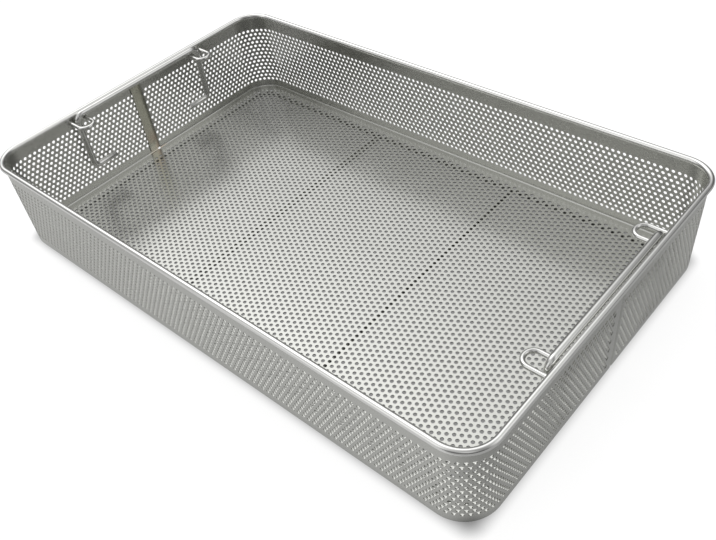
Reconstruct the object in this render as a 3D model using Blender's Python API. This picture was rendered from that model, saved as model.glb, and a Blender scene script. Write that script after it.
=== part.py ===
"""Sterilization basket of perforated sheet steel, in metres, +Z up.

The long side runs along X and the back is at +Y. The origin lies under the middle of the
basket, on the surface that the base ring stands on. Two sheet halves make the walls and lap
near the middle of the short sides. A floor sheet lies on their inward flanges, a round wire
rims the top, a wire ring with two cross wires stiffens the floor, and a bent wire handle
slides in two loops at each short side. Where the sheets are punched with fine round holes,
they have a coarse grid of windows with the same open share.
"""

import math

import bmesh
import bpy
from mathutils import Vector

# Basket body
inside_length = 0.484
inside_width = 0.301
inside_depth = 0.0791
sheet = 0.0008
wall_corner_radius = 0.0280
weld_gap = 0.0003

# Folds and the lap of the two wall halves
flange_width = 0.0075
flange_bend_radius = 0.0030
lap_width = 0.0085
lap_offset = 0.0039
lap_step_length = 0.0030
flange_taper = 0.0040
floor_edge_clearance = 0.0018

# Punched fields, each a grid of windows; shares are of the windows' spacing
floor_bare_edge = 0.0093
floor_windows_along = 12
floor_windows_across = 12
floor_window_length_share = 0.76
floor_window_width_share = 0.434
wall_bare_top = 0.0085
wall_bare_foot = 0.0082
wall_window_pitch = 0.0390
wall_window_rows = 2
wall_window_share = 0.57
corner_window_steps = 2

# Wires
rim_wire = 0.0048
rim_corner_radius = 0.0240
base_wire = 0.0040
base_inset = 0.0125
base_corner_radius = 0.0180
cross_wire_spacing = 0.1505
cross_wire_offset = 0.0047

# Handles and the loops that they slide in
handle_wire = 0.0055
handle_span = 0.1392
handle_wall_distance = 0.0054
handle_corner_radius = 0.0070
handle_drop = 0.0528
toe_length = 0.0237
toe_bend_radius = 0.0050
loop_wire = 0.0036
leg_off_loop = 0.0016
loop_gauge = 0.0140
loop_reach = 0.0240
loop_roundness = 0.98

# Mesh fineness
corner_steps = 10
bend_steps = 6

# Heights, from the surface that the basket stands on
base_height = base_wire / 2
floor_bottom = base_wire + weld_gap
floor_top = floor_bottom + sheet
wall_bottom = floor_bottom - weld_gap - sheet
rim_height = floor_top + inside_depth - rim_wire / 2
wall_top = rim_height - rim_wire / 2 - weld_gap
loop_height = rim_height - rim_wire / 2 - weld_gap - loop_wire / 2
handle_height = loop_height + loop_wire / 2 + weld_gap + handle_wire / 2

# Plan sizes, from the middle
wall_half_length = inside_length / 2 + sheet
wall_half_width = inside_width / 2 + sheet
rim_half_length = wall_half_length - sheet / 2
rim_half_width = wall_half_width - sheet / 2
handle_plane = inside_length / 2 - handle_wall_distance
wall_straight_length = wall_half_length - wall_corner_radius
wall_straight_width = wall_half_width - wall_corner_radius


def clear_scene():
    """Removes every object, so that only the basket is left."""
    for obj in list(bpy.data.objects):
        bpy.data.objects.remove(obj, do_unlink=True)


def steel(name, colour, roughness):
    """A plain stainless steel material."""
    material = bpy.data.materials.new(name)
    material.use_nodes = True
    shader = material.node_tree.nodes["Principled BSDF"]
    shader.inputs["Base Color"].default_value = (*colour, 1.0)
    shader.inputs["Metallic"].default_value = 1.0
    shader.inputs["Roughness"].default_value = roughness
    return material


def arc(centre, radius, start, end, steps):
    """Points on an arc in plan, from one angle to another, in degrees."""
    points = []
    for i in range(steps + 1):
        angle = math.radians(start + (end - start) * i / steps)
        points.append((centre[0] + radius * math.cos(angle), centre[1] + radius * math.sin(angle)))
    return points


def rounded_rectangle(half_length, half_width, radius, steps):
    """Plan outline with round corners, anticlockwise from the front right corner."""
    x, y = half_length - radius, half_width - radius
    outline = []
    for centre, start in (((x, -y), -90), ((x, y), 0), ((-x, y), 90), ((-x, -y), 180)):
        outline += arc(centre, radius, start, start + 90, steps)
    return outline


def bend_path(corners, radii, steps):
    """A path through the corners in space, with an arc of the given radius at each inner one."""
    path = [Vector(corners[0])]
    for before, corner, after, radius in zip(corners, corners[1:], corners[2:], radii):
        before, corner, after = Vector(before), Vector(corner), Vector(after)
        to_before = (before - corner).normalized()
        to_after = (after - corner).normalized()
        half_angle = to_before.angle(to_after) / 2
        reach = radius / math.tan(half_angle)
        centre = corner + (to_before + to_after).normalized() * radius / math.sin(half_angle)
        first = corner + to_before * reach - centre
        last = corner + to_after * reach - centre
        sweep = first.angle(last)
        for i in range(steps + 1):
            share = i / steps
            swung = first * math.sin((1 - share) * sweep) + last * math.sin(share * sweep)
            path.append(centre + swung / math.sin(sweep))
    path.append(Vector(corners[-1]))
    return path


def wire(name, path, diameter, material, closed=False, place=(0, 0, 0)):
    """A round wire along the path, which is given from the wire's own origin."""
    curve = bpy.data.curves.new(name, "CURVE")
    curve.dimensions = "3D"
    curve.bevel_depth = diameter / 2
    curve.bevel_resolution = 4
    curve.use_fill_caps = True
    curve.materials.append(material)
    spline = curve.splines.new("POLY")
    spline.points.add(len(path) - 1)
    for point, position in zip(spline.points, path):
        point.co = (*position, 1.0)
    spline.use_cyclic_u = closed
    obj = bpy.data.objects.new(name, curve)
    obj.location = place
    bpy.context.collection.objects.link(obj)
    return obj


def sheet_object(name, mesh_data, material):
    """Links a finished sheet mesh, with its folds shaded smooth and its cut edges sharp."""
    mesh = bpy.data.meshes.new(name)
    bmesh.ops.recalc_face_normals(mesh_data, faces=mesh_data.faces)
    mesh_data.to_mesh(mesh)
    mesh_data.free()
    mesh.shade_smooth()
    mesh.set_sharp_from_angle(angle=math.radians(35))
    mesh.materials.append(material)
    obj = bpy.data.objects.new(name, mesh)
    bpy.context.collection.objects.link(obj)
    return obj


def windows(start, end, count, share):
    """Edges of the windows spread evenly over a punched field, as pairs of places along it."""
    pitch = (end - start) / count
    bar = pitch * (1 - share) / 2
    return [(start + i * pitch + bar, start + (i + 1) * pitch - bar) for i in range(count)]


def wall_windows(start, end):
    """Edges of the windows along a straight run of the wall."""
    return windows(start, end, round((end - start) / wall_window_pitch), wall_window_share)


def floor_sheet(material):
    """The flat floor with its windows, which lies on the flanges of the walls."""
    half_length = inside_length / 2 - floor_edge_clearance
    half_width = inside_width / 2 - floor_edge_clearance
    radius = wall_corner_radius - sheet - floor_edge_clearance
    field_length = inside_length / 2 - floor_bare_edge
    field_width = inside_width / 2 - floor_bare_edge
    loops = [rounded_rectangle(half_length, half_width, radius, corner_steps)]
    along = windows(-field_length, field_length, floor_windows_along, floor_window_length_share)
    across = windows(-field_width, field_width, floor_windows_across, floor_window_width_share)
    for left, right in along:
        for front, rear in across:
            loops.append([(left, front), (right, front), (right, rear), (left, rear)])
    data = bmesh.new()
    edges = []
    for loop in loops:
        corners = [data.verts.new((x, y, floor_bottom)) for x, y in loop]
        edges += [data.edges.new(pair) for pair in zip(corners, corners[1:] + corners[:1])]
    bmesh.ops.triangle_fill(data, use_beauty=True, edges=edges)
    raised = bmesh.ops.extrude_face_region(data, geom=data.faces[:])
    moved = [item for item in raised["geom"] if isinstance(item, bmesh.types.BMVert)]
    bmesh.ops.translate(data, vec=(0, 0, sheet), verts=moved)
    return sheet_object("floor_sheet", data, material)


def section(outer, foot, inner):
    """A section of the wall, down the outer side and up the inner one.

    Its points are distances inwards from the outer face and heights. Above the fold it has a
    pair of points at each edge of the windows, in the same order on both sides.
    """
    low, high = wall_bottom + flange_bend_radius + wall_bare_foot, wall_top - wall_bare_top
    heights = [wall_top]
    for bottom, top in reversed(windows(low, high, wall_window_rows, wall_window_share)):
        heights += [top, bottom]
    down = [(0, z) for z in heights]
    up = [(sheet, z) for z in reversed(heights)]
    return [*down, *outer, *foot, *inner, *up]


def folded_section(sweep, flange):
    """The wall with its foot folded inwards by the sweep in degrees, and the flange beyond it."""
    centre = (flange_bend_radius, wall_bottom + flange_bend_radius)
    outer = arc(centre, flange_bend_radius, 180, 180 + sweep, bend_steps)
    inner = arc(centre, flange_bend_radius - sheet, 180 + sweep, 180, bend_steps)
    foot = [(sheet + flange, wall_bottom), (sheet + flange, wall_bottom + sheet)]
    if not flange:
        (x0, z0), (x1, z1) = outer[-1], inner[0]
        foot = [(x0 + (x1 - x0) * share, z0 + (z1 - z0) * share) for share in (1 / 3, 2 / 3)]
    return section(outer, foot, inner)


def plain_section():
    """The wall alone, cut off above the fold, with as many points as a folded section."""
    edge = wall_bottom + flange_bend_radius + weld_gap
    rise = 0.75 * sheet / bend_steps
    outer = [(0, edge + rise * (bend_steps - i)) for i in range(bend_steps + 1)]
    inner = [(sheet, edge + rise * i) for i in range(bend_steps + 1)]
    foot = [(sheet / 3, edge), (2 * sheet / 3, edge)]
    return section(outer, foot, inner)


def lap_stations(long_end, tongue, flanged):
    """Stations at a half's own end of a short side: a plan point, an outward way and a section.

    The laps lie off the middle, so each half has a long and a short end. Where tongue is set,
    the flange runs out, the fold opens, and the bare end steps inwards behind the other half.
    """
    out = Vector((1, 0))
    middle = -lap_offset if long_end else lap_offset
    own_end = middle - lap_width / 2
    other_end = middle + lap_width / 2
    if not tongue:
        return [(Vector((wall_half_length, y)), out, flanged) for y in (own_end, other_end)]
    plain = plain_section()
    tongue_face = wall_half_length - sheet - weld_gap
    step_end = other_end + weld_gap
    step_start = step_end + lap_step_length
    return [
        (Vector((tongue_face, own_end)), out, plain),
        (Vector((tongue_face, step_end)), out, plain),
        (Vector((wall_half_length, step_start)), out, plain),
        (Vector((wall_half_length, step_start + flange_taper / 2)), out, folded_section(45, 0)),
        (Vector((wall_half_length, step_start + flange_taper)), out, folded_section(90, 0)),
        (Vector((wall_half_length, step_start + 2 * flange_taper)), out, flanged),
    ]


def half_stations(long_end, tongue):
    """Stations of a quarter of the wall, from its end on a short side to the long side's middle.

    Returns them with the numbers of the gaps between stations that windows take.
    """
    flanged = folded_section(90, flange_width)
    stations = lap_stations(long_end, tongue, flanged)
    open_gaps = []
    for near, far in wall_windows(stations[-1][0].y, wall_straight_width):
        open_gaps.append(len(stations))
        stations += [(Vector((wall_half_length, y)), Vector((1, 0)), flanged) for y in (near, far)]
    centre = Vector((wall_straight_length, wall_straight_width))
    first = len(stations)
    for i in range(corner_steps + 1):
        turn = math.radians(90 * i / corner_steps)
        out = Vector((math.cos(turn), math.sin(turn)))
        stations.append((centre + wall_corner_radius * out, out, flanged))
    open_gaps += range(first + corner_window_steps, first + corner_steps - corner_window_steps)
    for left, right in reversed(wall_windows(-wall_straight_length, wall_straight_length)):
        if right > 0:
            open_gaps.append(len(stations))
            edges = [x for x in (right, left) if x > 0]
            stations += [(Vector((x, wall_half_width)), Vector((0, 1)), flanged) for x in edges]
    return stations, open_gaps


def wall_half(name, side, tongue, material):
    """Half of the wall, as a U in plan; side is -1 at the front and 1 at the back."""
    right, right_gaps = half_stations(side < 0, tongue)
    left, left_gaps = half_stations(side > 0, tongue)
    left = [(Vector((-point.x, point.y)), Vector((-out.x, out.y)), profile) for point, out, profile in left]
    stations = right + left[::-1]
    open_gaps = {*right_gaps, *(len(stations) - 2 - gap for gap in left_gaps)}
    data = bmesh.new()
    rings = []
    for point, outward, profile in stations:
        ring = []
        for inward, height in profile:
            spot = point - outward * inward
            ring.append(data.verts.new((spot.x, side * spot.y, height)))
        rings.append(ring)
    last = len(rings[0]) - 1
    outer_rows = range(1, 2 * wall_window_rows, 2)
    open_rows = {*outer_rows, *(last - 1 - row for row in outer_rows)}
    for number, (ring, following) in enumerate(zip(rings, rings[1:])):
        for i in range(last + 1):
            j = (i + 1) % (last + 1)
            if number not in open_gaps or i not in open_rows:
                data.faces.new((ring[i], ring[j], following[j], following[i]))
        if number not in open_gaps:
            continue
        for row in outer_rows:
            for i in (row, row + 1):
                data.faces.new((ring[i], following[i], following[last - i], ring[last - i]))
            for jamb, beyond in ((ring, number - 1), (following, number + 1)):
                if beyond not in open_gaps:
                    data.faces.new((jamb[row], jamb[row + 1], jamb[last - 1 - row], jamb[last - row]))
    data.faces.new(rings[0])
    data.faces.new(rings[-1])
    return sheet_object(name, data, material)


def rim(material):
    """The round wire that closes the top edge."""
    outline = rounded_rectangle(rim_half_length, rim_half_width, rim_corner_radius, corner_steps)
    path = [(x, y, 0) for x, y in outline]
    return wire("rim_wire", path, rim_wire, material, closed=True, place=(0, 0, rim_height))


def base_frame(material):
    """The ring under the floor and the two cross wires that butt against it."""
    half_length = inside_length / 2 - base_inset
    half_width = inside_width / 2 - base_inset
    outline = rounded_rectangle(half_length, half_width, base_corner_radius, corner_steps)
    path = [(x, y, 0) for x, y in outline]
    wire("base_ring", path, base_wire, material, closed=True, place=(0, 0, base_height))
    reach = half_width - base_wire / 2 - weld_gap
    for name, side in (("cross_wire_left", -1), ("cross_wire_right", 1)):
        across = cross_wire_offset + side * cross_wire_spacing / 2
        wire(name, [(0, -reach, 0), (0, reach, 0)], base_wire, material, place=(across, 0, base_height))


def handle_loop(name, side, end, material):
    """A U of wire welded under the rim; side is -1 at the left wall, end -1 at the front."""
    root = inside_length / 2 - weld_gap
    tip = inside_length / 2 - loop_reach + loop_wire / 2
    half = loop_gauge / 2
    corners = [(side * root, -half, 0), (side * tip, -half, 0), (side * tip, half, 0), (side * root, half, 0)]
    bend = half * loop_roundness
    path = bend_path(corners, (bend, bend), corner_steps // 2)
    middle = handle_span / 2 - leg_off_loop
    return wire(name, path, loop_wire, material, place=(0, end * middle, loop_height))


def handle(name, side, material):
    """A grip bar with two legs and inturned toes, its origin at the middle of the bar."""
    half = handle_span / 2
    corners = [
        (0, -half + toe_length, -handle_drop),
        (0, -half, -handle_drop),
        (0, -half, 0),
        (0, half, 0),
        (0, half, -handle_drop),
        (0, half - toe_length, -handle_drop),
    ]
    radii = (toe_bend_radius, handle_corner_radius, handle_corner_radius, toe_bend_radius)
    path = bend_path(corners, radii, bend_steps)
    return wire(name, path, handle_wire, material, place=(side * handle_plane, 0, handle_height))


def build():
    """Makes every piece of the basket."""
    clear_scene()
    sheet_steel = steel("sheet_steel", (0.58, 0.58, 0.56), 0.32)
    rim_steel = steel("rim_steel", (0.74, 0.74, 0.72), 0.12)
    wire_steel = steel("wire_steel", (0.68, 0.68, 0.66), 0.18)
    floor_sheet(sheet_steel)
    wall_half("front_wall", -1, False, sheet_steel)
    wall_half("rear_wall", 1, True, sheet_steel)
    rim(rim_steel)
    base_frame(wire_steel)
    for side_name, side in (("left", -1), ("right", 1)):
        for end_name, end in (("front", -1), ("rear", 1)):
            handle_loop(f"{side_name}_{end_name}_loop", side, end, wire_steel)
        handle(f"{side_name}_handle", side, wire_steel)


build()
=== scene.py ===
"""Looks of the sterilization basket: punched sheets, polished wires, studio light and camera.

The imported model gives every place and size. The sheets get their round holes here, the
wires get round sections and weld fillets, and each finish is worked out from noise.
"""

import math

import bpy
import numpy as np
from mathutils import Matrix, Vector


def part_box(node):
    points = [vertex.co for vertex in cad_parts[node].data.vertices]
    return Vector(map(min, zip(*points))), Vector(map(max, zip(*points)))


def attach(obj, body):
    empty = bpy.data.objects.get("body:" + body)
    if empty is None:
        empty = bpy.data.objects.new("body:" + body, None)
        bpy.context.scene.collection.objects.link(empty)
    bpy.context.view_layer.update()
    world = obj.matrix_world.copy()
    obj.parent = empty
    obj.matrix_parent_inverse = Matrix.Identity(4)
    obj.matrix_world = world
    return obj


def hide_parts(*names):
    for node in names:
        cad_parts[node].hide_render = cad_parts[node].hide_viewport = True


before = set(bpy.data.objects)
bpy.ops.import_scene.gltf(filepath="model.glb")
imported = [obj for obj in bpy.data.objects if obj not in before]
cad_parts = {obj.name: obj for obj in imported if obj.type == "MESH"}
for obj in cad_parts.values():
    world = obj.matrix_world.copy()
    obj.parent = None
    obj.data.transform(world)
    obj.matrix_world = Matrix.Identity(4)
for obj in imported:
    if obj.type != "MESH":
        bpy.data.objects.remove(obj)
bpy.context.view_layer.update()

# Sheets
floor_low, floor_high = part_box("floor_sheet")
wall_low, wall_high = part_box("front_wall")
sheet = floor_high.z - floor_low.z
floor_corner_radius = 0.0254
wall_corner_radius = 0.0280
flange_width = 0.0075
flange_bend_radius = 0.0030
weld_gap = 0.0003

# Laps of the two wall halves
lap_width = 0.0085
lap_offset = 0.0039
lap_step_length = 0.0030
flange_taper = 0.0060

# Holes
hole_radius = 0.0015
floor_pitch = 0.0050
floor_row = floor_pitch * math.sqrt(3) / 2
floor_holes_reach = (0.2312, 0.1402)
floor_holes_corner = 0.0170
floor_column_phase = -0.0001
floor_hole_phase = 0.0012
floor_panel_columns = 18
wall_pitch = 0.004865
wall_row = 0.0042135
wall_rows = 14
front_hole_phase = 0.000621
front_top_row = 0.06849
lap_bare_front = 0.0070
rear_hole_phase = 0.000735
rear_top_row = 0.06758
lap_bare_rear = 0.0134
rear_corner_stretch = 0.0018

# Tint of the left lap, as the faces' place across the wall and the height that it fades over
tongue_inner_face = (0.2405, 0.2408)
tongue_outer_face = (0.2417, 0.2419)
tint_half_width = (0.004, 0.014)
tint_foot = (0.018, 0.034)

# Wires
rim_low, rim_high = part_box("rim_wire")
rim_radius = (rim_high.z - rim_low.z) / 2
rim_corner_radius = 0.0240
ring_low, ring_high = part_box("base_ring")
base_radius = (ring_high.z - ring_low.z) / 2
base_corner_radius = 0.0180
handle_radius = 0.00275
handle_corner_radius = 0.0070
toe_length = 0.0237
toe_bend_radius = 0.0050
loop_radius = 0.0018
loop_bend = 0.98
weld_fillet = 0.0011
end_chamfer = 0.0005

# Studio: soft round lights in a dim room, as azimuth, elevation and strength, and the floor's
# glow as the eye sees it, as steel mirrors it, and under the basket. The low glow under the
# basket is painted shade. The weaker glow mirrored in the steel, dimmed further beyond the
# basket's right end, is painted shade in the reflections.
room_level = 0.08
light_focus = 16.0
left_lights = ((175.0, 60.0, 1.4), (180.0, 35.0, 0.8), (150.0, 44.0, 0.7))
back_lights = ((115.0, 60.0, 0.6), (115.0, 38.0, 0.35))
right_lights = ((30.0, 36.0, 0.75), (15.0, 10.0, 0.4), (60.0, 55.0, 0.35))
front_lights = ((240.0, 10.0, 0.7), (250.0, 35.0, 0.7), (250.0, 62.0, 0.4), (315.0, 45.0, 0.55))
top_light = (0.0, 85.0, 0.2)
floor_grey = 0.30
white_glow = 0.86
mirror_glow = 0.42
painted_shade_mirror_dim = 0.60
painted_shade_mirror_reach = (0.20, 0.30)
painted_shade_under_glow = 0.22
# Where the glow fades in round the basket's outline, a faint painted shade joins the real shadow.
glow_inset = 0.012
glow_reach = (0.002, 0.018)

# Camera
camera_place = (0.37077, -0.33605, 0.44128)
camera_azimuth = 46.485
camera_elevation = 45.148
camera_roll = -8.050
camera_lens = 39.858
camera_shift = (-0.00299, 0.03417)


class Signal:
    """A node's output, on which Python's operators add Math nodes."""

    def __init__(self, nodes, socket):
        self.nodes = nodes
        self.socket = socket

    def math(self, operation, *values):
        return self.nodes.node("ShaderNodeMath", {"operation": operation}, dict(enumerate(values)))

    def __add__(self, other):
        return self.math("ADD", self, other)

    def __sub__(self, other):
        return self.math("SUBTRACT", self, other)

    def __rsub__(self, other):
        return self.math("SUBTRACT", other, self)

    def __mul__(self, other):
        return self.math("MULTIPLY", self, other)

    def __abs__(self):
        return self.math("ABSOLUTE", self)

    __radd__ = __add__
    __rmul__ = __mul__

    def over(self, least):
        """The value, or the least where that is larger."""
        return self.math("MAXIMUM", self, least)

    def root(self):
        """The square root of the value."""
        return self.math("SQRT", self)

    def between(self, low, high):
        """0 at low and below, 1 at high and above, smooth between."""
        settings = {"interpolation_type": "SMOOTHSTEP"}
        inputs = {"Value": self, "From Min": low, "From Max": high}
        return self.nodes.node("ShaderNodeMapRange", settings, inputs)


class Nodes:
    """A node tree, with one method that adds any node."""

    def __init__(self, tree):
        self.tree = tree

    def node(self, kind, settings, inputs, output=0):
        """Adds a node, sets it up, and fills its inputs with values or signals."""
        made = self.tree.nodes.new(kind)
        for name, value in settings.items():
            setattr(made, name, value)
        for name, value in inputs.items():
            if isinstance(value, Signal):
                self.tree.links.new(value.socket, made.inputs[name])
            else:
                made.inputs[name].default_value = value
        return Signal(self, made.outputs[output])

    def axes(self, place):
        """The three coordinates as numbers."""
        return [self.node("ShaderNodeSeparateXYZ", {}, {"Vector": place}, axis) for axis in "XYZ"]

    def blend(self, factor, first, second):
        """From the first colour to the second as the factor goes from 0 to 1."""
        inputs = {"Factor": factor, 6: first, 7: second}
        return self.node("ShaderNodeMix", {"data_type": "RGBA"}, inputs, 2)

    def grey(self, level):
        """A grey as bright as the level."""
        return self.node("ShaderNodeCombineColor", {}, {"Red": level, "Green": level, "Blue": level})


class Finish(Nodes):
    """A material on the Principled shader."""

    def __init__(self, name, **constants):
        self.material = bpy.data.materials.new(name)
        self.material.use_nodes = True
        super().__init__(self.material.node_tree)
        self.shader = self.tree.nodes["Principled BSDF"]
        for socket, value in constants.items():
            self.shader.inputs[socket.replace("_", " ")].default_value = value

    def place(self):
        """The piece's own coordinates, in metres."""
        return self.node("ShaderNodeTexCoord", {}, {}, "Object")

    def stretched(self, place, scale):
        """The coordinates times a scale for each axis."""
        return self.node("ShaderNodeMapping", {}, {"Vector": place, "Scale": scale})

    def noise(self, place, scale, detail=2.0):
        """Noise from 0 to 1, with so many swells to the metre."""
        return self.node("ShaderNodeTexNoise", {}, {"Vector": place, "Scale": scale, "Detail": detail})

    def bump(self, height, distance):
        """A normal for a height from 0 to 1, which stands for a distance in metres."""
        return self.node("ShaderNodeBump", {}, {"Height": height, "Distance": distance, "Strength": 1.0})

    def feed(self, **links):
        """Links signals to the shader's sockets."""
        for socket, signal in links.items():
            self.tree.links.new(signal.socket, self.shader.inputs[socket.replace("_", " ")])


def mesh_object(name, points, faces, material, body="basket", stands_for=(), slot="wire_steel"):
    """A piece from an array of points and arrays of faces, which may differ in corner count."""
    sizes = np.concatenate([np.full(len(group), group.shape[1]) for group in faces])
    corners = np.concatenate([group.reshape(-1) for group in faces])
    used, corners = np.unique(corners, return_inverse=True)
    mesh = bpy.data.meshes.new(name)
    mesh.vertices.add(len(used))
    mesh.vertices.foreach_set("co", np.asarray(points)[used].astype(np.float32).reshape(-1))
    mesh.loops.add(len(corners))
    mesh.loops.foreach_set("vertex_index", corners.reshape(-1).astype(np.int32))
    mesh.polygons.add(len(sizes))
    mesh.polygons.foreach_set("loop_start", (np.cumsum(sizes) - sizes).astype(np.int32))
    mesh.update(calc_edges=True)
    mesh.shade_smooth()
    mesh.set_sharp_from_angle(angle=math.radians(35))
    mesh.materials.append(material)
    piece = bpy.data.objects.new(name, mesh)
    bpy.context.scene.collection.objects.link(piece)
    if body:
        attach(piece, body)
        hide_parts(*stands_for)
    return piece


# Punched sheets

brick_corners = np.array([
    (4, 1), (4, 2), (3, 2), (2, 2), (1, 2), (0, 2),
    (0, 1), (0, 0), (1, 0), (2, 0), (3, 0), (4, 0),
])


def punched_grid(along, across, cells, first_along, first_across):
    """Flat points and four-cornered faces of a sheet with round holes.

    The sheet is a grid of lines, and cells says which of its cells there are. A hole takes the
    place of a brick, four cells by two, whose first corner is given: twelve faces join the
    twelve points of its circle to the twelve grid points around the brick.
    """
    grid = np.stack(np.meshgrid(along, across, indexing="ij"), axis=-1).reshape(-1, 2)
    cells = cells.copy()
    for right in range(4):
        for up in range(2):
            cells[first_along + right, first_across + up] = False
    i, j = np.nonzero(cells)
    step = len(across)
    corner = i * step + j
    plain = np.stack([corner, corner + step, corner + step + 1, corner + 1], axis=1)
    first = first_along * step + first_across
    around = first[:, None] + brick_corners[:, 0] * step + brick_corners[:, 1]
    angle = np.arange(12) * math.tau / 12
    circle = hole_radius * np.stack([np.cos(angle), np.sin(angle)], axis=1)
    rings = grid[first + 2 * step + 1][:, None] + circle
    ring = len(grid) + np.arange(rings.shape[0] * 12).reshape(-1, 12)
    collar = np.stack([around, np.roll(around, -1, axis=1), np.roll(ring, -1, axis=1), ring], axis=2)
    return np.concatenate([grid, rings.reshape(-1, 2)]), np.concatenate([plain, collar.reshape(-1, 4)])


def thickened(points, faces, place):
    """A closed sheet: the flat faces placed at both sides, and a wall along every open edge."""
    count = len(points)
    edges = np.stack([faces, np.roll(faces, -1, axis=1)], axis=2).reshape(-1, 2)
    open_edges = edges[~np.isin(edges @ [count, 1], edges @ [1, count])]
    walls = np.concatenate([open_edges, open_edges[:, ::-1] + count], axis=1)
    both = np.concatenate([faces[:, ::-1], faces + count])
    return np.concatenate([place(points, 0), place(points, 1)]), np.concatenate([both, walls])


def lattice(low, high, phase, step):
    """Grid lines at the phase plus whole steps, then both ends, and the first line's number."""
    first = math.ceil((low - phase) / step + 0.4)
    last = math.floor((high - phase) / step - 0.4)
    lines = phase + step * np.arange(first, last + 1)
    return np.concatenate([[low], lines, [high]]), first


def outside_round_corner(x, y, half_length, half_width, radius):
    """How far each point lies from the centre of its round corner, past the arc, as x and y."""
    over = np.stack([np.abs(x) - half_length + radius, np.abs(y) - half_width + radius])
    far = np.hypot(*np.maximum(over, 0))
    return over, far


def floor_sheet(material):
    """The floor in three panels, punched in close-packed columns along Y.

    A grid point that lies past the round corner is drawn in to the arc.
    """
    half_length, half_width = floor_high.x, floor_high.y
    ys, first_y = lattice(-half_width, half_width, floor_hole_phase - floor_pitch / 2, floor_pitch / 4)
    xs, first_x = lattice(-half_length, half_length, floor_column_phase - floor_row / 2, floor_row / 2)
    column = np.arange(-60, 61)[:, None]
    number = np.arange(-40, 41)[None, :]
    x = floor_column_phase + floor_row * column + 0 * number
    y = floor_hole_phase + floor_pitch * (number + 0.5 * (column % 2))
    _, far = outside_round_corner(x, y, *floor_holes_reach, floor_holes_corner)
    punched = (np.abs(x) < floor_holes_reach[0]) & (np.abs(y) < floor_holes_reach[1])
    punched &= far < floor_holes_corner
    hole_x = (2 * column + 0 * number - first_x + 1)[punched]
    hole_y = (4 * number + 2 * (column % 2) - first_y + 1)[punched]

    def place(points, side):
        y, x = points.T
        over, far = outside_round_corner(x, y, half_length, half_width, floor_corner_radius)
        pull = np.where((over > 0).all(axis=0) & (far > floor_corner_radius), far - floor_corner_radius, 0)
        share = over * pull / np.maximum(far, 1e-9)
        z = np.full(len(x), floor_low.z if side else floor_high.z)
        return np.stack([x - np.sign(x) * share[0], y - np.sign(y) * share[1], z], axis=1)

    grid_y, grid_x = np.meshgrid(ys, xs, indexing="ij")
    over, far = outside_round_corner(grid_x, grid_y, half_length, half_width, floor_corner_radius)
    inside = ~((over > 0).all(axis=0) & (far > floor_corner_radius - 1e-6))
    cells = inside[1:, 1:] | inside[:-1, 1:] | inside[1:, :-1] | inside[:-1, :-1]
    seams = floor_panel_columns * np.array([-1, 1])
    bounds = [0, *(1 + 2 * seams - first_x), len(xs) - 1]
    for name, start, end in zip(("floor_left", "floor_middle", "floor_right"), bounds, bounds[1:]):
        here = (hole_x >= start) & (hole_x < end)
        lines = xs[start : end + 1]
        flat, faces = punched_grid(ys, lines, cells[:, start:end], hole_y[here], hole_x[here] - start)
        points, faces = thickened(flat, faces, place)
        mesh_object(name, points, [faces], material, stands_for=["floor_sheet"], slot="sheet_steel")


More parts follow.
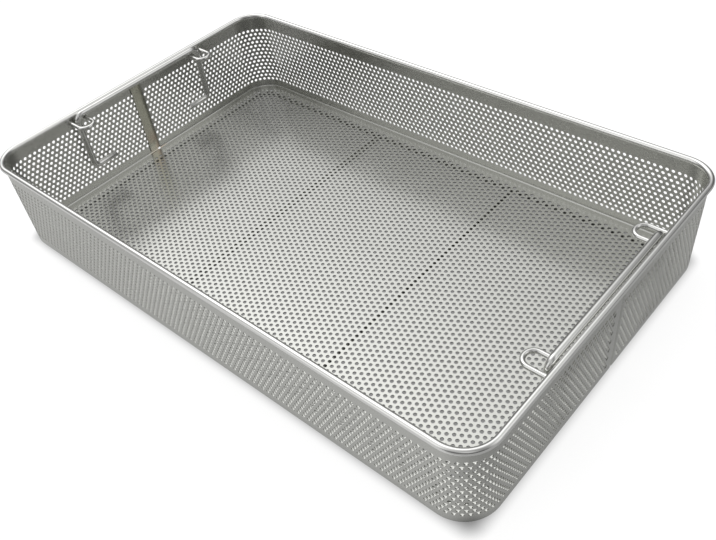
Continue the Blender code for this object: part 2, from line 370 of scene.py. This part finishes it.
def wall_half(name, half_turn, tongue, hole_phase, top_row, bare_end, stretch, material):
    """Half of the wall: a U in plan, swept with a profile that folds inwards at its foot.

    The first coordinate runs along the middle of the sheet in plan, from the middle of the
    long side: straight, round the corner, and straight again. The second runs down the
    profile: straight, round the fold, and level again. The rear half is turned by half a turn,
    and its corners are drawn out by the stretch, so its holes lie that much further on.
    """
    middle_x, middle_y = wall_high.x - sheet / 2, -wall_low.y - sheet / 2
    corner = wall_corner_radius - sheet / 2
    straight = middle_x - corner
    arc = corner * math.pi / 2 + stretch
    bend = straight + arc
    to_middle = bend + middle_y - corner
    far_end, near_end = to_middle + lap_offset + lap_width / 2, to_middle - lap_offset + lap_width / 2
    top = rim_low.z + 0.6 * rim_radius
    fold = flange_bend_radius - sheet / 2
    fold_height = wall_low.z + flange_bend_radius
    flat_drop = top - fold_height
    fold_length = fold * math.pi / 2
    flange = flange_width + sheet - flange_bend_radius

    lines, first = lattice(-near_end, far_end, hole_phase - wall_pitch / 2, wall_pitch / 4)
    band = top - top_row - wall_row / 2
    drops = np.concatenate([
        [0, band / 2],
        band + wall_row / 2 * np.arange(2 * wall_rows + 1),
        flat_drop + fold_length * np.linspace(0, 1, 7),
        [flat_drop + fold_length + flange],
    ])
    row = np.arange(wall_rows)[:, None]
    number = np.arange(-90, 91)[None, :]
    at = hole_phase + wall_pitch * (number + 0.5 * (row % 2))
    punched = (at > bare_end - near_end) & (at < far_end - bare_end)
    hole_along = (4 * number + 2 * (row % 2) - first + 1)[punched]
    hole_down = (2 * row + 2 + 0 * number)[punched]

    step_ends = np.array([-near_end + lap_width + weld_gap, far_end - lap_width - weld_gap])

    def past_step(u):
        """Distance from the end of the step to the points beside it, positive on the body."""
        return np.minimum(u - step_ends[0], step_ends[1] - u)

    def place(points, side):
        u, v = points.T
        depth = (sheet if side else -sheet) / 2
        run = np.abs(u)
        turn = np.clip((run - straight) / arc, 0, 1) * math.pi / 2
        out = np.stack([np.sign(u) * np.sin(turn), -np.cos(turn)])
        past_corner = np.maximum(run - bend, 0)
        along = np.stack([np.sign(u) * np.minimum(run, straight), corner - middle_y + past_corner])
        lean = np.clip((v - flat_drop) / fold, 0, math.pi / 2)
        level = np.maximum(v - flat_drop - fold_length, 0)
        inward = fold - (fold - depth) * np.cos(lean) + level
        z = np.where(v < flat_drop, top - v, fold_height - (fold - depth) * np.sin(lean))
        if tongue:
            share = np.clip(past_step(u) / lap_step_length, 0, 1)
            inward += (sheet + weld_gap) * (1 - share * share * (3 - 2 * share))
            cut = np.clip((past_step(u) - lap_step_length) / flange_taper, 0.05, 1)
            inward -= level * (1 - cut)
        x, y = along + out * (corner - inward)
        if half_turn:
            x, y = -x, -y
        return np.stack([x, y, z], axis=1)

    cells = np.ones((len(lines) - 1, len(drops) - 1), bool)
    if tongue:
        bare = past_step((lines[1:] + lines[:-1]) / 2) < lap_step_length
        cells[np.ix_(bare, drops[1:] > flat_drop + 1e-9)] = False
    flat, faces = punched_grid(lines, drops, cells, hole_along, hole_down)
    points, faces = thickened(flat, faces, place)
    node = name.replace("_sheet", "")
    return mesh_object(name, points, [faces], material, stands_for=[node], slot="sheet_steel")


# Wires

def round_corners(half_length, half_width, radius, steps=24):
    """A closed path in plan: four arcs joined by straight runs."""
    turn = np.radians(np.linspace(0, 90, steps + 1))
    arcs = []
    for quarter, (sx, sy) in enumerate(((1, 1), (-1, 1), (-1, -1), (1, -1))):
        angle = turn + quarter * math.pi / 2
        centre = np.array([sx * (half_length - radius), sy * (half_width - radius)])
        arcs.append(centre + radius * np.stack([np.cos(angle), np.sin(angle)], axis=1))
    plan = np.concatenate(arcs)
    return np.column_stack([plan, np.zeros(len(plan))])


def bent_path(corners, radii, steps):
    """Straight runs joined by arcs: each inner corner is rounded with its own radius."""
    corners = np.array(corners, float)
    path = [corners[:1]]
    for before, corner, after, radius in zip(corners, corners[1:], corners[2:], radii):
        back = (before - corner) / np.linalg.norm(before - corner)
        ahead = (after - corner) / np.linalg.norm(after - corner)
        half = math.acos(np.clip(back @ ahead, -1, 1)) / 2
        centre = corner + (back + ahead) / np.linalg.norm(back + ahead) * radius / math.sin(half)
        first = corner + back * radius / math.tan(half) - centre
        last = corner + ahead * radius / math.tan(half) - centre
        sweep = math.pi - 2 * half
        share = np.linspace(0, 1, steps + 1)[:, None]
        turned = first * np.sin((1 - share) * sweep) + last * np.sin(share * sweep)
        path.append(centre + turned / math.sin(sweep))
    path.append(corners[-1:])
    return np.concatenate(path)


def tube(path, radius, across, closed=False, sides=28):
    """A circle carried along a flat path; across is the direction square to the path's plane.

    The radius may change along the path. Open ends are closed by flat discs.
    """
    if closed:
        heading = np.roll(path, -1, axis=0) - np.roll(path, 1, axis=0)
    else:
        heading = np.gradient(path, axis=0)
    heading /= np.linalg.norm(heading, axis=1, keepdims=True)
    across = np.broadcast_to(np.array(across, float), path.shape)
    outward = np.cross(across, heading)
    angle = np.arange(sides) * math.tau / sides
    radius = np.broadcast_to(radius, len(path))[:, None, None]
    circle = np.cos(angle)[:, None] * outward[:, None] + np.sin(angle)[:, None] * across[:, None]
    points = (path[:, None] + radius * circle).reshape(-1, 3)
    index = np.arange(len(path) * sides).reshape(-1, sides)
    ahead = np.roll(index, -1, axis=0) if closed else index[1:]
    here = index if closed else index[:-1]
    ring = [here, np.roll(here, -1, axis=1), np.roll(ahead, -1, axis=1), ahead]
    faces = [np.stack(ring, axis=2).reshape(-1, 4)]
    if not closed:
        faces.append(np.stack([index[0, ::-1], index[-1]]))
    return points, faces


def chamfered(path, radius):
    """The path with two more points just inside its ends, and a radius that shrinks at them."""
    heads = (path[[1, -2]] - path[[0, -1]])
    heads /= np.linalg.norm(heads, axis=1, keepdims=True)
    inner = path[[0, -1]] + end_chamfer * heads
    longer = np.concatenate([path[:1], inner[:1], path[1:-1], inner[1:], path[-1:]])
    radii = np.full(len(longer), radius)
    radii[[0, -1]] = radius - end_chamfer * 0.7
    return longer, radii


def closed_wire(name, low, high, radius, corner_radius, material, slot):
    """A closed ring of wire that fills the box of its node."""
    path = round_corners(high.x - radius, high.y - radius, corner_radius)
    path[:, 2] = (low.z + high.z) / 2
    points, faces = tube(path, radius, (0, 0, 1), closed=True, sides=36)
    mesh_object(name, points, faces, material, stands_for=[name.replace("_round", "")], slot=slot)


def cross_wire(name, material):
    """A straight wire under the floor, from one side of the base ring to the other."""
    low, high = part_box(name.replace("_round", ""))
    x, z = (low.x + high.x) / 2, (low.z + high.z) / 2
    ends = np.array([(x, low.y - weld_gap, z), (x, high.y + weld_gap, z)])
    points, faces = tube(ends, base_radius, (1, 0, 0))
    mesh_object(name, points, faces, material, stands_for=[name.replace("_round", "")])


def handle(name, material):
    """A grip bar with two legs and toes turned inwards, in a plane along Y."""
    node = name.replace("_round", "")
    low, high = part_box(node)
    x = (low.x + high.x) / 2
    half, top, foot = high.y - handle_radius, high.z - handle_radius, low.z + handle_radius
    corners = [(x, -half + toe_length, foot), (x, -half, foot), (x, -half, top)]
    corners += [(x, -y, z) for x, y, z in corners[::-1]]
    radii = (toe_bend_radius, handle_corner_radius, handle_corner_radius, toe_bend_radius)
    path, radius = chamfered(bent_path(corners, radii, 12), handle_radius)
    points, faces = tube(path, radius, (1, 0, 0))
    mesh_object(name, points, faces, material, body=node, stands_for=[node])


def handle_loop(name, material):
    """A U of wire whose legs spread into weld fillets where they meet the wall."""
    low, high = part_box(name.replace("_round", ""))
    side = 1 if low.x > 0 else -1
    root = side * (wall_high.x - sheet)
    tip = side * (min(abs(low.x), abs(high.x)) + loop_radius)
    near, far, z = low.y + loop_radius, high.y - loop_radius, (low.z + high.z) / 2
    bend = (far - near) / 2 * loop_bend
    corners = [(root, near, z), (tip, near, z), (tip, far, z), (root, far, z)]
    path = bent_path(corners, (bend, bend), 12)
    steps = side * weld_fillet * np.array([[0.12], [0.3], [0.55], [1.0]]) * [[1, 0, 0]]
    path = np.concatenate([path[:1], path[0] - steps, path[1:-1], path[-1] - steps[::-1], path[-1:]])
    reach = np.minimum(np.abs(path[:, 0] - root), weld_fillet)
    spread = weld_fillet - np.sqrt(weld_fillet**2 - (weld_fillet - reach) ** 2)
    points, faces = tube(path, loop_radius + spread, (0, 0, side))
    mesh_object(name, points, faces, material, stands_for=[name.replace("_round", "")])


# Finishes

def sheet_finish():
    """Electropolished punched sheet: satin, faintly rolled along its length, tinted at welds."""
    finish = Finish("punched_sheet_steel", Metallic=1.0)
    place = finish.place()
    x, y, z = finish.axes(place)
    cloud = finish.noise(place, 28.0, 3.0)
    grain = finish.noise(finish.stretched(place, (1.0, 1.0, 9.0)), 420.0)
    tone = cloud * 0.5 + grain * 0.5
    steel = finish.blend(tone, (0.55, 0.553, 0.525, 1.0), (0.65, 0.653, 0.62, 1.0))
    leftwards = 0.0 - x
    on_tongue = leftwards.between(*tongue_inner_face) * (1 - leftwards.between(*tongue_outer_face))
    lap = (1 - abs(y).between(*tint_half_width)) * on_tongue
    steel = finish.blend(lap * 0.7, steel, (0.68, 0.67, 0.54, 1.0))
    foot = lap * (1 - z.between(*tint_foot)) * finish.noise(place, 60.0).between(0.36, 0.6)
    steel = finish.blend(foot * 0.7, steel, (0.66, 0.53, 0.43, 1.0))
    finish.feed(
        Base_Color=steel,
        Roughness=0.18 + cloud * 0.08 + grain * 0.08,
        Normal=finish.bump(cloud * 0.7 + grain * 0.3, 0.00003),
    )
    return finish.material


def wire_finish(name, light, dark, roughness):
    """Polished round wire with fine drawing lines and slight unevenness."""
    finish = Finish(name, Metallic=1.0)
    place = finish.place()
    cloud = finish.noise(place, 70.0, 3.0)
    fine = finish.noise(place, 900.0)
    finish.feed(
        Base_Color=finish.blend(cloud, dark, light),
        Roughness=roughness + cloud * 0.05 + fine * 0.05,
        Normal=finish.bump(fine, 0.000012),
    )
    return finish.material


# Stage

def stage_floor():
    """A wide pale floor. Around the basket it glows up to white, and under it only faintly, which is
    painted shade.

    Mirrored in the steel it glows less, and least beyond the basket's right end, which is painted shade in
    the reflections.
    """
    finish = Finish("studio_floor", Roughness=0.9, Specular_IOR_Level=0.0, Emission_Strength=1.0)
    place = finish.place()
    x, y, z = finish.axes(place)
    past_x = (abs(x) - wall_high.x + glow_inset).over(0.0)
    past_y = (abs(y) + wall_low.y + glow_inset).over(0.0)
    away = (past_x * past_x + past_y * past_y).root()
    outside = away.between(*glow_reach)
    straight = finish.node("ShaderNodeLightPath", {}, {}, "Is Camera Ray")
    mirrored = finish.node("ShaderNodeLightPath", {}, {}, "Is Glossy Ray")
    through = finish.node("ShaderNodeLightPath", {}, {}, "Is Transmission Ray")
    # Painted shade: the glow the eye sees stays low under the basket and fades in round its foot.
    glow = straight * (outside * (white_glow - painted_shade_under_glow) + painted_shade_under_glow)
    # Painted shade in the reflections: the steel sees a weaker glow, weaker still beyond the basket's
    # right end.
    painted_shade_dimming = 1 - x.between(*painted_shade_mirror_reach) * painted_shade_mirror_dim
    glow = glow + (mirrored + through) * outside * painted_shade_dimming * mirror_glow
    finish.feed(
        Base_Color=finish.grey(floor_grey + finish.noise(place, 3.0) * 0.02),
        Emission_Color=finish.grey(glow),
    )
    reach = 6.0
    points = np.array([(-reach, -reach, 0), (reach, -reach, 0), (reach, reach, 0), (-reach, reach, 0)])
    floor = mesh_object("studio_floor", points, [np.array([[0, 1, 2, 3]])], finish.material, body=None)


def heading(azimuth, elevation):
    """The direction at an azimuth from +X towards +Y and an elevation, both in degrees."""
    turn, rise = math.radians(azimuth), math.radians(elevation)
    return math.cos(turn) * math.cos(rise), math.sin(turn) * math.cos(rise), math.sin(rise)


def studio_light():
    """A studio as seen from the basket: soft round lights in a dim room, white where looked at.

    A light's level is its strength times e to the power of focus times (cosine - 1), where the
    cosine is of the angle from the light's middle.
    """
    world = bpy.data.worlds.new("studio")
    bpy.context.scene.world = world
    world.use_nodes = True
    nodes = Nodes(world.node_tree)
    facing = nodes.node("ShaderNodeTexCoord", {}, {}, "Generated")
    level = room_level
    lights = (*left_lights, *back_lights, *right_lights, *front_lights, top_light)
    for azimuth, elevation, strength in lights:
        inputs = {0: facing, 1: heading(azimuth, elevation)}
        towards = nodes.node("ShaderNodeVectorMath", {"operation": "DOT_PRODUCT"}, inputs, "Value")
        fading = (towards - 1.0) * light_focus
        level = fading.math("EXPONENT", fading) * strength + level
    straight = nodes.node("ShaderNodeLightPath", {}, {}, "Is Camera Ray")
    through = nodes.node("ShaderNodeLightPath", {}, {}, "Is Transmission Ray")
    seen = straight + through
    shown = nodes.grey(level * (1 - seen) + seen)
    world.node_tree.links.new(shown.socket, world.node_tree.nodes["Background"].inputs["Color"])


def camera():
    """The photograph's view."""
    view = bpy.data.cameras.new("camera")
    view.lens = camera_lens
    view.shift_x, view.shift_y = camera_shift
    view.clip_start = 0.01
    obj = bpy.data.objects.new("camera", view)
    turn = Matrix.Rotation(math.radians(camera_azimuth), 4, "Z")
    tilt = Matrix.Rotation(math.radians(90 - camera_elevation), 4, "X")
    roll = Matrix.Rotation(math.radians(camera_roll), 4, "Z")
    obj.matrix_world = Matrix.Translation(camera_place) @ turn @ tilt @ roll
    bpy.context.scene.collection.objects.link(obj)
    bpy.context.scene.camera = obj


def build():
    """Makes the camera, the stage and every piece."""
    camera()
    stage_floor()
    studio_light()
    punched = sheet_finish()
    floor_sheet(punched)
    front_holes = front_hole_phase, front_top_row, lap_bare_front
    wall_half("front_wall_sheet", False, False, *front_holes, 0.0, punched)
    rear_holes = rear_hole_phase, rear_top_row, lap_bare_rear
    wall_half("rear_wall_sheet", True, True, *rear_holes, rear_corner_stretch, punched)
    rim_steel = wire_finish("polished_rim_steel", (0.90, 0.90, 0.88, 1.0), (0.82, 0.82, 0.80, 1.0), 0.06)
    wire_steel = wire_finish("polished_wire_steel", (0.86, 0.86, 0.84, 1.0), (0.75, 0.75, 0.73, 1.0), 0.10)
    closed_wire("rim_wire_round", rim_low, rim_high, rim_radius, rim_corner_radius, rim_steel, "rim_steel")
    # Painted shade: a darker, rougher copy of the polished wire steel for the base ring and cross wires,
    # which sit in shade under the floor.
    shaded_dull_steel = wire_finish("dull_wire_steel_painted_shade", (0.44, 0.44, 0.42, 1.0), (0.34, 0.34, 0.32, 1.0), 0.26)
    ring = base_radius, base_corner_radius, shaded_dull_steel, "wire_steel"
    closed_wire("base_ring_round", ring_low, ring_high, *ring)
    for side in ("left", "right"):
        cross_wire(f"cross_wire_{side}_round", shaded_dull_steel)
        handle(f"{side}_handle_round", wire_steel)
        for end in ("front", "rear"):
            handle_loop(f"{side}_{end}_loop_round", wire_steel)


build()
bpy.context.scene.view_settings.view_transform = "Standard"
